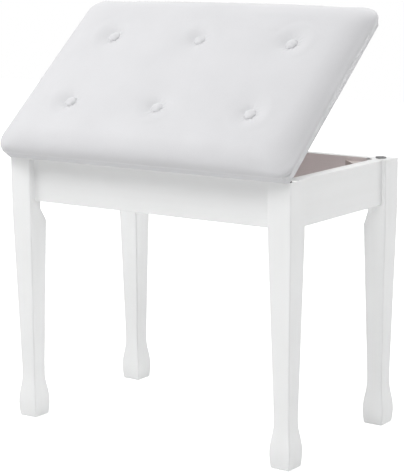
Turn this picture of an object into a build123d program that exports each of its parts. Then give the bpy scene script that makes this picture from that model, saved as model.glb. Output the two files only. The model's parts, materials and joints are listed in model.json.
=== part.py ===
from build123d import *
import os
from math import asin, cos, degrees, pi, radians, sin, sqrt

os.makedirs("parts", exist_ok=True)

# Frame, over the legs. +X is the bench's right, -Y the hinge side, and the origin
# lies on the floor under the middle of the open bench.
frame_length = 531.5
frame_depth = 316.5
frame_height = 430.0
frame_center_y = 12.0

# Legs: square top, straight taper to the ankle, spade foot
leg_width = 40.5
leg_square_length = 85.0
leg_arris = 2.5
ankle_width = 27.9
ankle_top = 84.0
ankle_bottom = 70.0
bulge_width = 37.4
bulge_height = 23.5
foot_width = 33.6
foot_arris = 1.5
leg_corner_cut = 16.0
leg_corner_runout = 25.0

# Rails of the storage box, set back from the leg faces
rail_height = 71.0
rail_thickness = 18.0
rail_arris = 1.5
long_rail_setback = 10.5
side_rail_setback = 6.6

# Box floor, held in grooves
floor_thickness = 4.0
floor_rise = 4.0
groove_depth = 6.0
groove_clearance = 0.2
floor_corner_gap = 1.0

# Diagonal corner blocks
block_span = 55.5
block_thickness = 20.0
block_top_gap = 6.0
block_floor_gap = 0.6

# Wood screws through the blocks
block_screw_diameter = 4.0
block_screw_head = 7.6
block_screw_head_height = 3.0
block_screw_grip = 9.0
block_screw_bite = 13.0
block_screw_inset = 15.0
block_screw_edge = 17.0

# Studs from the legs through the blocks
bolt_diameter = 8.0
bolt_bite = 14.0
bolt_edge = 11.0
bolt_end = 3.0
bolt_clearance = 0.5
nut_width = 13.0
nut_height = 6.5
washer_diameter = 17.0
washer_thickness = 1.6

# Fits: screws in their holes, turning pairs, and pieces that meet at the end of a travel
screw_clearance = 0.05
running_clearance = 0.05
rest_gap = 0.3
drill_past = 1.0

# Long hinge on the front legs and the front rail
hinge_inset = 3.0
hinge_end_gap = 1.75
hinge_float = 0.05
knuckle_radius = 1.25
hinge_pin_radius = 0.65
knuckle_count = 33
knuckle_gap = 0.3
leaf_width = 22.0
leaf_relief = 0.4
hinge_screw_count = 9
hinge_screw_diameter = 2.5
hinge_screw_head = 5.5
hinge_screw_head_height = 0.6
hinge_screw_bite = 11.0

# Rubber bumpers on the back legs
bumper_radius = 8.25
bumper_arris = 0.6
bumper_recess_radius = 4.0
bumper_recess = 1.2
bumper_screw_diameter = 3.0
bumper_screw_head = 6.0
bumper_screw_head_height = 0.9
bumper_screw_bite = 9.0

# Lid, measured at its flat underside
lid_angle = 40.1
lid_front = 6.1
lid_length = 531.5
lid_depth = 328.6
lid_corner_radius = 8.0
board_thickness = 13.6
cover_thickness = 1.2
cover_margin = 40.0
lining_thickness = 0.5
lining_gap = 0.5
skin_gap = 0.1

# Pad over the board: drawn in at the crease, bulging, rolled over to a low crown
crease_depth = 0.6
pad_bulge = 8.0
pad_bulge_height = 22.0
pad_roll_run = 45.0
pad_roll_rise = 25.0
pad_crown_run = 60.0
pad_crown = 3.0
pad_corner_radius = 28.0
pad_roll_steps = 4

# Tufts
tuft_pitch_x = 170.0
tuft_pitch_y = 148.0
tuft_radius = 38.0
tuft_depth = 11.0
button_radius = 10.5
button_edge = 1.6
button_height = 5.5
tie_radius = 0.9
tie_hole_radius = 1.4
tie_washer_radius = 7.0
tie_washer_thickness = 1.0
tie_washer_sink = 1.2

# Staples
staple_width = 10.0
staple_wire = 0.9
staple_thickness = 0.5
staple_leg = 6.0
staple_pitch = 52.0
cover_staple_inset = 33.0
lining_staple_inset = 48.0

# Lid stays: slotted arms that swing on the lid and slide on studs at the front rail
stay_x = 165.0
stay_radius = 50.0
stay_pivot_drop = 8.0
stay_stud_drop = 15.0
arm_thickness = 2.0
arm_width = 12.0
arm_end = 3.0
stud_radius = 2.5
stud_head_radius = 4.0
stud_head_height = 1.2
slot_side_gap = 0.15
rivet_radius = 2.0
rivet_head_radius = 3.5
rivet_head_height = 1.0
plate_thickness = 1.5
plate_gap = 0.2
head_gap = 0.1
ear_radius = 6.0
ear_base_width = 18.0
ear_base_length = 28.0
bracket_base_height = 24.0
bracket_base_shift = 3.0
stay_screw_diameter = 3.0
stay_screw_head = 6.0
stay_screw_head_height = 1.2
stay_screw_bite = 9.0
stay_screw_pitch = 14.0

# Places worked out from the sizes above
leg_x = (frame_length - leg_width) / 2
leg_reach_y = (frame_depth - leg_width) / 2
rail_bottom = frame_height - rail_height
square_bottom = frame_height - leg_square_length
box_half_length = frame_length / 2 - side_rail_setback - rail_thickness
box_half_depth = frame_depth / 2 - long_rail_setback - rail_thickness
front_inner_y = frame_center_y - box_half_depth
floor_bottom = rail_bottom + floor_rise
floor_top = floor_bottom + floor_thickness
block_bottom = floor_top + block_floor_gap
block_top = frame_height - block_top_gap
hinge_rise = knuckle_radius + hinge_float
hinge_y = frame_center_y - frame_depth / 2 + hinge_inset
hinge_z = frame_height + hinge_rise
hinge_length = frame_length - 2 * hinge_end_gap
hinge_screw_y = front_inner_y - rail_thickness / 2 - hinge_y
knuckle_bore = hinge_pin_radius + running_clearance
leaf_thickness = knuckle_radius - knuckle_bore
board_bottom = hinge_rise + cover_thickness
board_top = board_bottom + board_thickness
lid_center_y = lid_depth / 2 - lid_front
pad_top = hinge_rise + pad_bulge_height + pad_roll_rise + pad_crown
root_two = sqrt(2)

corners = {
    "front_left": (-1, -1),
    "front_right": (1, -1),
    "back_left": (-1, 1),
    "back_right": (1, 1),
}
sides = {"left": -1, "right": 1}
from_seat = (Align.CENTER, Align.CENTER, Align.MIN)
up_to_seat = (Align.CENTER, Align.CENTER, Align.MAX)

# The lid's own plane: its origin is on the hinge pin, its x axis along the pin,
# and its y axis runs back along the lid.
tilt = radians(lid_angle)
lid_plane = Plane(
    origin=(0, hinge_y, hinge_z),
    x_dir=(1, 0, 0),
    z_dir=(0, -sin(tilt), cos(tilt)),
)


def save(piece, label):
    piece.part.label = label
    export_step(piece.part, f"parts/{label}.step")


def drill(seats, radius, depth):
    with Locations(*seats):
        Cylinder(radius, depth, align=from_seat, mode=Mode.SUBTRACT)


def add_screws(seats, diameter, length, head, head_height):
    with Locations(*seats):
        Cylinder(diameter / 2, length, align=from_seat)
        Cylinder(head / 2, head_height, align=up_to_seat)


def lid_seat(x, y, height, across=False):
    # A plane on the lid that faces up, its x axis along the lid or across it
    return Plane(
        origin=lid_plane.from_local_coords((x, y, height)),
        x_dir=lid_plane.y_dir if across else lid_plane.x_dir,
        z_dir=lid_plane.z_dir,
    )


def leg_center(x_side, y_side):
    return (x_side * leg_x, frame_center_y + y_side * leg_reach_y)


def bolt_axis(x_side, y_side, distance, height):
    # A plane on the diagonal of one leg, facing into the box
    center_x, center_y = leg_center(x_side, y_side)
    shift = distance / root_two
    return Plane(
        origin=(center_x - x_side * shift, center_y - y_side * shift, height),
        z_dir=(-x_side, -y_side, 0),
    )


# Distances along the leg's diagonal, from the leg's middle into the box
leg_face = (leg_width - leg_corner_cut) / root_two
inner_corner = (leg_x + leg_reach_y - box_half_length - box_half_depth) / root_two
block_inner_face = inner_corner + block_span / root_two
block_outer_face = block_inner_face - block_thickness
bolt_heights = (block_bottom + bolt_edge, block_top - bolt_edge)


def block_screw_seats(x_side, y_side):
    # Head seats in one block, two facing the long rail and two facing the side rail
    inner_x = x_side * box_half_length
    inner_y = frame_center_y + y_side * box_half_depth
    along = block_span - block_screw_inset
    seats = {"long": [], "side": []}
    for height in (block_bottom + block_screw_edge, block_top - block_screw_edge):
        long_point = (inner_x - x_side * along, inner_y - y_side * block_screw_grip, height)
        seats["long"].append(Plane(origin=long_point, z_dir=(0, y_side, 0)))
        side_point = (inner_x - x_side * block_screw_grip, inner_y - y_side * along, height)
        seats["side"].append(Plane(origin=side_point, z_dir=(x_side, 0, 0)))
    return seats


def frame_hinge_seats():
    pitch = 2 * leg_x / (hinge_screw_count - 1)
    return [
        Plane(
            origin=(-leg_x + pitch * i, hinge_y + hinge_screw_y, frame_height + leaf_thickness),
            z_dir=(0, 0, -1),
        )
        for i in range(hinge_screw_count)
    ]


def bumper_seat(side):
    center_x, center_y = leg_center(side, 1)
    return Plane(
        origin=(center_x, center_y, frame_height + bumper_height - bumper_recess),
        z_dir=(0, 0, -1),
    )


bumper_height = 2 * hinge_rise - rest_gap

# Legs
foot_steps = 4
foot_sections = [(ankle_top, ankle_width)]
for i in range(foot_steps + 1):
    share = i / foot_steps
    swell = (1 - cos(pi * share)) / 2
    height = ankle_bottom + (bulge_height - ankle_bottom) * share
    foot_sections.append((height, ankle_width + (bulge_width - ankle_width) * swell))
for share in (0.5, 1.0):
    width = bulge_width - (bulge_width - foot_width) * share**2
    foot_sections.append((bulge_height * (1 - share), width))

for label, (x_side, y_side) in corners.items():
    center_x, center_y = leg_center(x_side, y_side)
    leg_axis = Plane(origin=(center_x, center_y, 0))
    with BuildPart() as leg:
        with BuildSketch(leg_axis.offset(square_bottom)):
            RectangleRounded(leg_width, leg_width, leg_arris)
        extrude(amount=leg_square_length)
        with BuildSketch(leg_axis.offset(square_bottom)):
            RectangleRounded(leg_width, leg_width, leg_arris)
        with BuildSketch(leg_axis.offset(ankle_top)):
            RectangleRounded(ankle_width, ankle_width, leg_arris)
        loft(ruled=True)
        for height, width in foot_sections:
            with BuildSketch(leg_axis.offset(height)):
                RectangleRounded(width, width, leg_arris)
        loft()
        chamfer(leg.faces().sort_by(Axis.Z)[0].edges(), foot_arris)
        # The inner corner is cut away behind the rails and runs out below them
        diagonal = Plane(
            origin=(center_x, center_y, 0),
            x_dir=(-x_side, -y_side, 0),
            z_dir=(-y_side, x_side, 0),
        )
        corner_reach = leg_width / root_two
        with BuildSketch(diagonal):
            with BuildLine():
                Polyline(
                    (leg_face, frame_height),
                    (leg_face, square_bottom),
                    (corner_reach, square_bottom - leg_corner_runout),
                    (corner_reach + leg_width, square_bottom - leg_corner_runout),
                    (corner_reach + leg_width, frame_height),
                    close=True,
                )
            make_face()
        extrude(amount=leg_width, both=True, mode=Mode.SUBTRACT)
        seats = [bolt_axis(x_side, y_side, leg_face - bolt_bite, height) for height in bolt_heights]
        drill(seats, bolt_diameter / 2 + screw_clearance, bolt_bite + drill_past)
        if y_side < 0:
            seats = frame_hinge_seats()[:1] if x_side < 0 else frame_hinge_seats()[-1:]
            drill(seats, hinge_screw_diameter / 2 + screw_clearance, hinge_screw_bite + leaf_thickness)
        else:
            depth = bumper_screw_bite + bumper_height - bumper_recess
            drill([bumper_seat(x_side)], bumper_screw_diameter / 2 + screw_clearance, depth)
    save(leg, f"{label}_leg")

# Rails, each drawn on its inner face with the face's normal towards the box
rail_faces = {
    "front_rail": ((0, front_inner_y), (0, 1), leg_x - leg_width / 2, "long"),
    "back_rail": ((0, frame_center_y + box_half_depth), (0, -1), leg_x - leg_width / 2, "long"),
    "left_rail": ((-box_half_length, frame_center_y), (1, 0), leg_reach_y - leg_width / 2, "side"),
    "right_rail": ((box_half_length, frame_center_y), (-1, 0), leg_reach_y - leg_width / 2, "side"),
}


def stay_bracket_seats(side):
    # Screw seats on the base of one stay bracket, facing into the front rail
    base_x = side * (stay_x - bracket_inner - ear_base_width / 2)
    base_z = hinge_z - stay_stud_drop - bracket_base_shift
    return [
        Plane(
            origin=(base_x, front_inner_y + plate_thickness, base_z + step * stay_screw_pitch / 2),
            z_dir=(0, -1, 0),
        )
        for step in (-1, 1)
    ]


bracket_outer = rivet_head_height + head_gap + 2 * plate_gap
bracket_inner = bracket_outer + plate_thickness

for label, ((face_x, face_y), (inward_x, inward_y), half_length, kind) in rail_faces.items():
    inner_face = Plane(
        origin=(face_x, face_y, rail_bottom + rail_height / 2),
        x_dir=(-inward_y, inward_x, 0),
        z_dir=(inward_x, inward_y, 0),
    )
    groove_height = floor_thickness + groove_clearance
    groove_y = floor_bottom + groove_height / 2 - rail_bottom - rail_height / 2
    long_axis = Axis.X if kind == "long" else Axis.Y
    outward = Axis((0, 0, 0), (-inward_x, -inward_y, 0))
    with BuildPart() as rail:
        with BuildSketch(inner_face):
            Rectangle(2 * half_length, rail_height)
        extrude(amount=-rail_thickness)
        outer_edges = rail.edges().filter_by(long_axis).group_by(outward)[-1]
        fillet(outer_edges, rail_arris)
        with BuildSketch(inner_face):
            with Locations((0, groove_y)):
                Rectangle(2 * half_length, groove_height)
        extrude(amount=-groove_depth, mode=Mode.SUBTRACT)
        seats = []
        for x_side, y_side in corners.values():
            seats += block_screw_seats(x_side, y_side)[kind]
        drill(seats, block_screw_diameter / 2 + screw_clearance, block_screw_grip + block_screw_bite)
        if label == "front_rail":
            seats = frame_hinge_seats()[1:-1]
            drill(seats, hinge_screw_diameter / 2 + screw_clearance, hinge_screw_bite + leaf_thickness)
            seats = stay_bracket_seats(-1) + stay_bracket_seats(1)
            drill(seats, stay_screw_diameter / 2 + screw_clearance, stay_screw_bite + plate_thickness)
    save(rail, label)

# Corner blocks
for label, (x_side, y_side) in corners.items():
    inner_x = x_side * box_half_length
    inner_y = frame_center_y + y_side * box_half_depth
    outer_span = block_span - block_thickness * root_two
    with BuildPart() as block:
        with BuildSketch(Plane.XY.offset(block_bottom)):
            with BuildLine():
                Polyline(
                    (inner_x - x_side * block_span, inner_y),
                    (inner_x, inner_y - y_side * block_span),
                    (inner_x, inner_y - y_side * outer_span),
                    (inner_x - x_side * outer_span, inner_y),
                    close=True,
                )
            make_face()
        extrude(amount=block_top - block_bottom)
        seats = block_screw_seats(x_side, y_side)
        seats = seats["long"] + seats["side"]
        drill(seats, block_screw_diameter / 2 + screw_clearance, block_screw_grip)
        with Locations(*seats):
            Cylinder(
                block_screw_head / 2 + screw_clearance,
                block_span,
                align=up_to_seat,
                mode=Mode.SUBTRACT,
            )
        seats = [bolt_axis(x_side, y_side, block_outer_face, height) for height in bolt_heights]
        drill(seats, bolt_diameter / 2 + bolt_clearance, block_thickness)
    save(block, f"{label}_block")

all_block_seats = []
for x_side, y_side in corners.values():
    for seats in block_screw_seats(x_side, y_side).values():
        all_block_seats += seats
with BuildPart() as block_screws:
    add_screws(
        all_block_seats,
        block_screw_diameter,
        block_screw_grip + block_screw_bite - drill_past,
        block_screw_head,
        block_screw_head_height,
    )
save(block_screws, "block_screws")

# Studs, washers and nuts that hold the legs
nut_end = block_inner_face + washer_thickness + nut_height


def all_bolt_seats(distance):
    return [
        bolt_axis(x_side, y_side, distance, height)
        for x_side, y_side in corners.values()
        for height in bolt_heights
    ]


with BuildPart() as leg_bolts:
    with Locations(*all_bolt_seats(leg_face - bolt_bite)):
        Cylinder(
            bolt_diameter / 2,
            nut_end + bolt_end - leg_face + bolt_bite,
            align=from_seat,
        )
save(leg_bolts, "leg_bolts")

with BuildPart() as leg_washers:
    with Locations(*all_bolt_seats(block_inner_face)):
        Cylinder(washer_diameter / 2, washer_thickness, align=from_seat)
    drill(all_bolt_seats(block_inner_face), bolt_diameter / 2 + bolt_clearance, washer_thickness)
save(leg_washers, "leg_washers")

with BuildPart() as leg_nuts:
    with BuildSketch(*all_bolt_seats(block_inner_face + washer_thickness)):
        RegularPolygon(nut_width / 2, 6, major_radius=False)
        Circle(bolt_diameter / 2 + screw_clearance, mode=Mode.SUBTRACT)
    extrude(amount=nut_height)
save(leg_nuts, "leg_nuts")

# Box floor, with its corners cut to clear the legs
floor_half_x = box_half_length + groove_depth - groove_clearance
floor_half_y = box_half_depth + groove_depth - groove_clearance
corner_limit = leg_x + leg_reach_y - root_two * leg_face - floor_corner_gap * root_two
floor_corner = floor_half_x + floor_half_y - corner_limit
with BuildPart() as storage_floor:
    with BuildSketch(Plane((0, frame_center_y, floor_bottom))) as floor_outline:
        Rectangle(2 * floor_half_x, 2 * floor_half_y)
        chamfer(floor_outline.vertices(), floor_corner)
    extrude(amount=floor_thickness)
save(storage_floor, "storage_floor")

# Hinge: knuckles alternate between the two leaves
knuckle_pitch = hinge_length / knuckle_count
knuckle_length = knuckle_pitch - knuckle_gap
leaf_start = knuckle_radius + leaf_relief


def add_leaf(plane, lift, first):
    # One leaf on a plane at the hinge pin, its sheet lying at the height lift
    sheet = plane.offset(lift)
    middles = [-hinge_length / 2 + knuckle_pitch * (i + 0.5) for i in range(first, knuckle_count, 2)]
    with Locations(sheet):
        with Locations((0, (leaf_start + leaf_width) / 2, 0)):
            Box(hinge_length, leaf_width - leaf_start, leaf_thickness, align=from_seat)
        with Locations(*[(x, leaf_start / 2, 0) for x in middles]):
            Box(knuckle_length, leaf_start, leaf_thickness, align=from_seat)
    spots = [Plane(origin=plane.from_local_coords((x, 0, 0)), z_dir=(1, 0, 0)) for x in middles]
    with Locations(*spots):
        Cylinder(knuckle_radius, knuckle_length)
    with Locations(Plane(origin=plane.origin, z_dir=(1, 0, 0))):
        Cylinder(knuckle_bore, hinge_length, mode=Mode.SUBTRACT)


frame_hinge_plane = Plane(origin=(0, hinge_y, hinge_z))
with BuildPart() as frame_hinge_leaf:
    add_leaf(frame_hinge_plane, -hinge_rise, 0)
    seats = [seat.offset(-drill_past) for seat in frame_hinge_seats()]
    drill(seats, hinge_screw_diameter / 2 + screw_clearance, 2 * drill_past)
save(frame_hinge_leaf, "frame_hinge_leaf")

with BuildPart() as frame_hinge_screws:
    add_screws(
        frame_hinge_seats(),
        hinge_screw_diameter,
        hinge_screw_bite,
        hinge_screw_head,
        hinge_screw_head_height,
    )
save(frame_hinge_screws, "frame_hinge_screws")

with BuildPart() as hinge_pin:
    with Locations(Plane(origin=(0, hinge_y, hinge_z), z_dir=(1, 0, 0))):
        Cylinder(hinge_pin_radius, hinge_length)
save(hinge_pin, "hinge_pin")


def lid_hinge_seats():
    pitch = 2 * leg_x / (hinge_screw_count - 1)
    return [
        lid_seat(-leg_x + pitch * i, hinge_screw_y, hinge_rise - leaf_thickness)
        for i in range(hinge_screw_count)
    ]


with BuildPart() as lid_hinge_leaf:
    add_leaf(lid_plane, hinge_rise - leaf_thickness, 1)
    seats = [seat.offset(-drill_past) for seat in lid_hinge_seats()]
    drill(seats, hinge_screw_diameter / 2 + screw_clearance, 2 * drill_past)
save(lid_hinge_leaf, "lid_hinge_leaf")

with BuildPart() as lid_hinge_screws:
    add_screws(
        lid_hinge_seats(),
        hinge_screw_diameter,
        hinge_screw_bite,
        hinge_screw_head,
        hinge_screw_head_height,
    )
save(lid_hinge_screws, "lid_hinge_screws")

# Bumpers
for label, side in sides.items():
    center_x, center_y = leg_center(side, 1)
    with BuildPart() as bumper:
        with BuildSketch(Plane((center_x, center_y, frame_height))):
            Circle(bumper_radius)
        extrude(amount=bumper_height)
        fillet(bumper.edges().group_by(Axis.Z)[-1], bumper_arris)
        seat = bumper_seat(side)
        drill([seat], bumper_screw_diameter / 2 + screw_clearance, bumper_height)
        with Locations(seat):
            Cylinder(bumper_recess_radius, bumper_height, align=up_to_seat, mode=Mode.SUBTRACT)
    save(bumper, f"{label}_bumper")

with BuildPart() as bumper_screws:
    add_screws(
        [bumper_seat(side) for side in sides.values()],
        bumper_screw_diameter,
        bumper_screw_bite + bumper_height - bumper_recess - drill_past,
        bumper_screw_head,
        bumper_screw_head_height,
    )
save(bumper_screws, "bumper_screws")

# Lid board, cover, foam and lining
tuft_points = [
    (column * tuft_pitch_x, lid_center_y + row * tuft_pitch_y / 2)
    for column in (-1, 0, 1)
    for row in (-1, 1)
]
tuft_ball = (tuft_radius**2 + tuft_depth**2) / (2 * tuft_depth)
tuft_bottom = pad_top - tuft_depth
button_base = tuft_bottom + tuft_ball - sqrt(tuft_ball**2 - button_radius**2) + rest_gap
ear_screw_seat = board_bottom - lining_thickness


def lid_outline(height):
    return Plane(
        origin=lid_plane.from_local_coords((0, lid_center_y, height)),
        x_dir=lid_plane.x_dir,
        z_dir=lid_plane.z_dir,
    )


def tuft_seats(height):
    return [lid_seat(x, y, height) for x, y in tuft_points]


def make_pad(skin):
    # The pad's form drawn in by a skin's thickness, with its tufts
    bulge_z = hinge_rise + pad_bulge_height
    side_in = pad_bulge + crease_depth
    lower = []
    for i in range(3):
        turn = pi / 4 * i
        inset = side_in * (1 - sin(turn))
        height = board_top + (bulge_z - board_top) * (1 - cos(turn))
        corner = lid_corner_radius + (pad_corner_radius - lid_corner_radius) * sin(turn)
        lower.append((inset, height, corner))
    roll = []
    for i in range(pad_roll_steps + 1):
        turn = pi / 2 * i / pad_roll_steps
        inset = pad_roll_run * (1 - cos(turn))
        height = bulge_z + (pad_roll_rise - skin) * sin(turn)
        roll.append((inset, height, pad_corner_radius))
    crown = [roll[-1], (pad_roll_run + pad_crown_run, pad_top - skin, pad_corner_radius)]
    with BuildPart() as pad:
        for sections in (lower, roll, crown):
            straight = sections is lower
            for inset, height, corner in sections:
                with BuildSketch(lid_outline(height)):
                    RectangleRounded(
                        lid_length + 2 * (pad_bulge - inset - skin),
                        lid_depth + 2 * (pad_bulge - inset - skin),
                        corner - skin,
                    )
            loft(ruled=straight)
        with Locations(*tuft_seats(tuft_bottom + tuft_ball)):
            Sphere(tuft_ball + skin, mode=Mode.SUBTRACT)
    return pad.part


def stay_pivot():
    # The arm's pivot in the lid's plane, on the circle that the guide stud lies on too
    height = hinge_rise - stay_pivot_drop
    return (sqrt(stay_radius**2 - height**2), height)


def lid_ear_seats(side):
    pivot_y, _ = stay_pivot()
    base_x = side * (stay_x + ear_inner + ear_base_width / 2 + plate_thickness)
    return [
        lid_seat(base_x, pivot_y + step * stay_screw_pitch / 2, ear_screw_seat - plate_thickness)
        for step in (-1, 1)
    ]


ear_inner = arm_thickness + plate_gap
board_inset = cover_thickness + skin_gap

with BuildPart() as lid_board:
    with BuildSketch(lid_outline(board_bottom)):
        RectangleRounded(
            lid_length - 2 * board_inset,
            lid_depth - 2 * board_inset,
            lid_corner_radius - board_inset,
        )
    extrude(amount=board_thickness)
    drill(tuft_seats(board_bottom), tie_hole_radius, board_thickness)
    drill(tuft_seats(board_bottom), tie_washer_radius + screw_clearance, tie_washer_sink)
    drill(lid_hinge_seats(), hinge_screw_diameter / 2 + screw_clearance, hinge_screw_bite + drill_past)
    ear_screw_depth = stay_screw_bite + plate_thickness + drill_past
    seats = lid_ear_seats(-1) + lid_ear_seats(1)
    drill(seats, stay_screw_diameter / 2 + screw_clearance, ear_screw_depth)
save(lid_board, "lid_board")

with BuildPart() as seat_foam:
    add(make_pad(cover_thickness + skin_gap))
    drill(tuft_seats(board_top), tie_hole_radius, pad_top)
save(seat_foam, "seat_foam")

with BuildPart() as seat_cover:
    with BuildSketch(lid_outline(hinge_rise)):
        RectangleRounded(lid_length, lid_depth, lid_corner_radius)
    extrude(amount=cover_thickness + board_thickness)
    add(make_pad(0))
    add(make_pad(cover_thickness), mode=Mode.SUBTRACT)
    with BuildSketch(lid_outline(board_bottom)):
        RectangleRounded(
            lid_length - 2 * cover_thickness,
            lid_depth - 2 * cover_thickness,
            lid_corner_radius - cover_thickness,
        )
    extrude(amount=board_thickness, mode=Mode.SUBTRACT)
    with BuildSketch(lid_outline(hinge_rise)):
        Rectangle(lid_length - 2 * cover_margin, lid_depth - 2 * cover_margin)
    extrude(amount=cover_thickness, mode=Mode.SUBTRACT)
    drill(tuft_seats(board_top), tie_hole_radius, pad_top)
    drill(lid_hinge_seats(), hinge_screw_diameter / 2 + screw_clearance, cover_thickness + drill_past)
save(seat_cover, "seat_cover")

lining_inset = cover_margin + lining_gap
with BuildPart() as lid_lining:
    with BuildSketch(lid_outline(board_bottom - lining_thickness)):
        Rectangle(lid_length - 2 * lining_inset, lid_depth - 2 * lining_inset)
    extrude(amount=lining_thickness)
    seats = lid_ear_seats(-1) + lid_ear_seats(1)
    drill(seats, stay_screw_diameter / 2 + screw_clearance, stay_screw_bite)
save(lid_lining, "lid_lining")

# Covered buttons, their ties and the washers under the board
dome_rise = button_height - button_edge
dome_ball = (button_radius**2 + dome_rise**2) / (2 * dome_rise)
dome_turn = asin(button_radius / dome_ball) / 2
dome_middle = (dome_ball * sin(dome_turn), button_height - dome_ball * (1 - cos(dome_turn)))
with BuildPart() as tuft_buttons:
    for x, y in tuft_points:
        profile = Plane(
            origin=lid_plane.from_local_coords((x, y, button_base)),
            x_dir=lid_plane.x_dir,
            z_dir=-lid_plane.y_dir,
        )
        with BuildSketch(profile):
            with BuildLine():
                Polyline((0, button_height), (0, 0), (button_radius, 0), (button_radius, button_edge))
                ThreePointArc((button_radius, button_edge), dome_middle, (0, button_height))
            make_face()
        revolve(axis=Axis(profile.origin, lid_plane.z_dir))
save(tuft_buttons, "tuft_buttons")

with BuildPart() as button_ties:
    with Locations(*tuft_seats(board_bottom)):
        Cylinder(tie_radius, button_base - board_bottom, align=from_seat)
save(button_ties, "button_ties")

with BuildPart() as tie_washers:
    seats = tuft_seats(board_bottom + tie_washer_sink - tie_washer_thickness)
    with Locations(*seats):
        Cylinder(tie_washer_radius, tie_washer_thickness, align=from_seat)
    drill(seats, tie_radius + screw_clearance, tie_washer_thickness)
save(tie_washers, "tie_washers")

# Staples: rows round the cover's margin and round the lining
def staple_rows(inset, height, long_row, side_row):
    half_x = lid_length / 2 - inset
    half_y = lid_depth / 2 - inset
    along = [(x, lid_center_y + end * half_y) for x in long_row for end in (-1, 1)]
    across = [(end * half_x, lid_center_y + y) for y in side_row for end in (-1, 1)]
    seats = [lid_seat(x, y, height) for x, y in along]
    return seats + [lid_seat(x, y, height, across=True) for x, y in across]


def add_staples(seats):
    reach = (staple_width - staple_wire) / 2
    with Locations(*seats):
        Box(staple_width, staple_wire, staple_thickness, align=up_to_seat)
        with Locations((-reach, 0, 0), (reach, 0, 0)):
            Box(staple_wire, staple_wire, staple_leg, align=from_seat)


ear_center_x = stay_x + ear_inner + plate_thickness + ear_base_width / 2
long_row = [staple_pitch * i for i in range(-4, 5)]
side_row = [staple_pitch * i for i in range(-1, 2)]
lining_row = [0, -staple_pitch, staple_pitch]
for side in sides.values():
    lining_row.append(side * (ear_center_x - staple_pitch / 2))
    lining_row.append(side * (ear_center_x + staple_pitch / 2))
with BuildPart() as upholstery_staples:
    add_staples(
        staple_rows(cover_staple_inset, hinge_rise, long_row, side_row)
        + staple_rows(lining_staple_inset, board_bottom - lining_thickness, lining_row, side_row)
    )
save(upholstery_staples, "upholstery_staples")

# Lid stays. Stud and pivot are equally far from the hinge pin, so the arm turns
# half as far as the lid does.
pivot_y, pivot_z = stay_pivot()
stud_y = sqrt(stay_radius**2 - stay_stud_drop**2)
stud_turn = -degrees(asin(stay_stud_drop / stay_radius))
pivot_turn = degrees(asin(pivot_z / stay_radius))
closed_turn = pivot_turn - stud_turn
chord_closed = 2 * stay_radius * sin(radians(closed_turn / 2))
chord_open = 2 * stay_radius * sin(radians((closed_turn + lid_angle) / 2))
slot_near = chord_closed - rest_gap
slot_far = chord_open + rest_gap
arm_reach = slot_far + arm_end
arm_turn = radians((stud_turn + pivot_turn + lid_angle) / 2 - 90)

for label, side in sides.items():
    pivot_point = lid_plane.from_local_coords((side * stay_x, pivot_y, pivot_z))
    arm_plane = Plane(
        origin=pivot_point,
        x_dir=(0, cos(arm_turn), sin(arm_turn)),
        z_dir=(1, 0, 0),
    )
    with BuildPart() as stay_arm:
        with BuildSketch(arm_plane):
            with Locations((arm_reach / 2, 0)):
                SlotCenterToCenter(arm_reach, arm_width)
            with Locations(((slot_near + slot_far) / 2, 0)):
                SlotCenterToCenter(
                    slot_far - slot_near,
                    2 * (stud_radius + slot_side_gap),
                    mode=Mode.SUBTRACT,
                )
            Circle(rivet_radius + running_clearance, mode=Mode.SUBTRACT)
        extrude(amount=side * arm_thickness)
    save(stay_arm, f"{label}_stay_arm")

    ear_plane = Plane(
        origin=lid_plane.from_local_coords((side * (stay_x + ear_inner), 0, 0)),
        x_dir=lid_plane.y_dir,
        z_dir=(1, 0, 0),
    )
    with BuildPart() as lid_ear:
        with BuildSketch(ear_plane):
            with Locations((pivot_y, (pivot_z + ear_screw_seat) / 2)):
                Rectangle(2 * ear_radius, ear_screw_seat - pivot_z)
            with Locations((pivot_y, pivot_z)):
                Circle(ear_radius)
                Circle(rivet_radius + screw_clearance, mode=Mode.SUBTRACT)
        extrude(amount=side * plate_thickness)
        with BuildSketch(lid_outline(ear_screw_seat - plate_thickness)):
            with Locations((side * ear_center_x, pivot_y - lid_center_y)):
                Rectangle(ear_base_width, ear_base_length)
            with Locations((side * (stay_x + ear_inner + plate_thickness / 2), pivot_y - lid_center_y)):
                Rectangle(plate_thickness, 2 * ear_radius)
        extrude(amount=plate_thickness)
        drill(lid_ear_seats(side), stay_screw_diameter / 2 + screw_clearance, plate_thickness)
    save(lid_ear, f"{label}_lid_ear")

    bracket_plane = Plane(
        origin=(side * (stay_x - bracket_outer), hinge_y, hinge_z),
        x_dir=(0, 1, 0),
        z_dir=(1, 0, 0),
    )
    rail_y = front_inner_y - hinge_y
    base_z = hinge_z - stay_stud_drop - bracket_base_shift
    with BuildPart() as stay_bracket:
        with BuildSketch(bracket_plane):
            with Locations(((rail_y + stud_y) / 2, -stay_stud_drop)):
                Rectangle(stud_y - rail_y, 2 * ear_radius)
            with Locations((stud_y, -stay_stud_drop)):
                Circle(ear_radius)
                Circle(stud_radius + screw_clearance, mode=Mode.SUBTRACT)
        extrude(amount=-side * plate_thickness)
        with BuildSketch(Plane((0, front_inner_y, 0), x_dir=(1, 0, 0), z_dir=(0, -1, 0))):
            base_x = stay_x - bracket_outer - (plate_thickness + ear_base_width) / 2
            with Locations((side * base_x, base_z)):
                Rectangle(ear_base_width + plate_thickness, bracket_base_height)
        extrude(amount=-plate_thickness)
        drill(stay_bracket_seats(side), stay_screw_diameter / 2 + screw_clearance, plate_thickness)
    save(stay_bracket, f"{label}_stay_bracket")

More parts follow.
